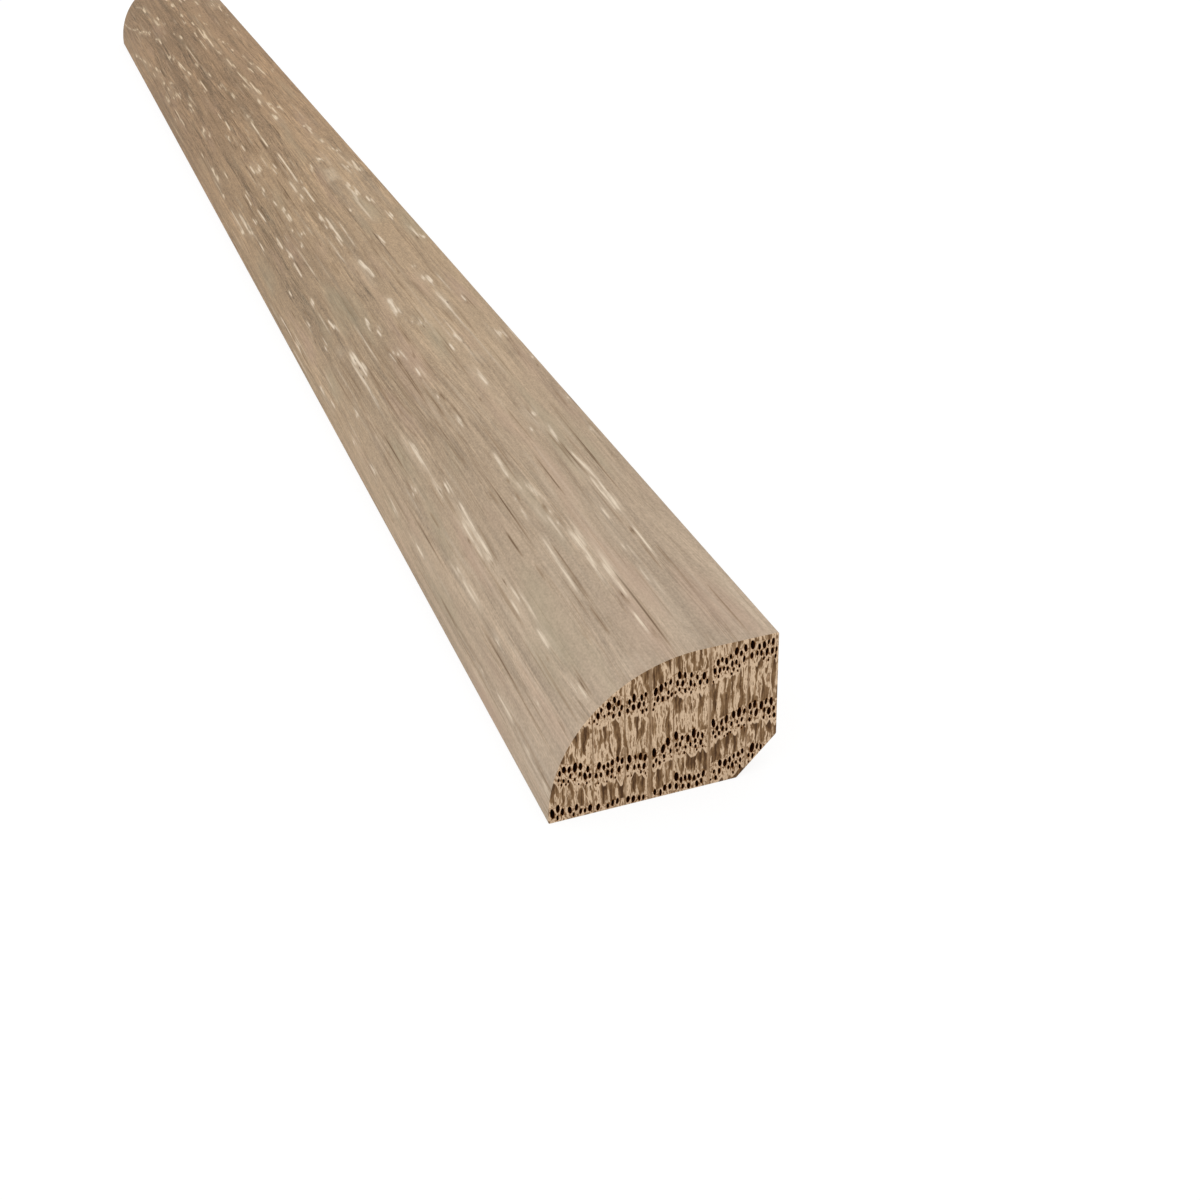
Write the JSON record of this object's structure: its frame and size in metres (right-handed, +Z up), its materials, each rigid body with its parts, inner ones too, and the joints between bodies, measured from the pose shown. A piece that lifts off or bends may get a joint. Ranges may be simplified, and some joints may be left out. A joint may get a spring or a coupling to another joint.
{
  "type": "shoe moulding",
  "caption": "Short length of solid oak shoe moulding with a quarter-round front, a narrow flat top, an angled relief at the foot of the back and square sawn ends.",
  "frame": {"origin": "middle of the piece on the plane of its base: half way along the length and half way between the toe of the curve and the back", "axes": "+X along the length of the piece, +Y towards the back, which stands against the skirting, +Z up from the base, which lies on the floor"},
  "size_m": [0.3048, 0.019, 0.0127],
  "materials": {
    "oak": "matt grey-beige limed oak, open grain, sawn end grain"
  },
  "bodies": {
    "root": {"shoe_moulding": "oak"}
  },
  "joints": []
}
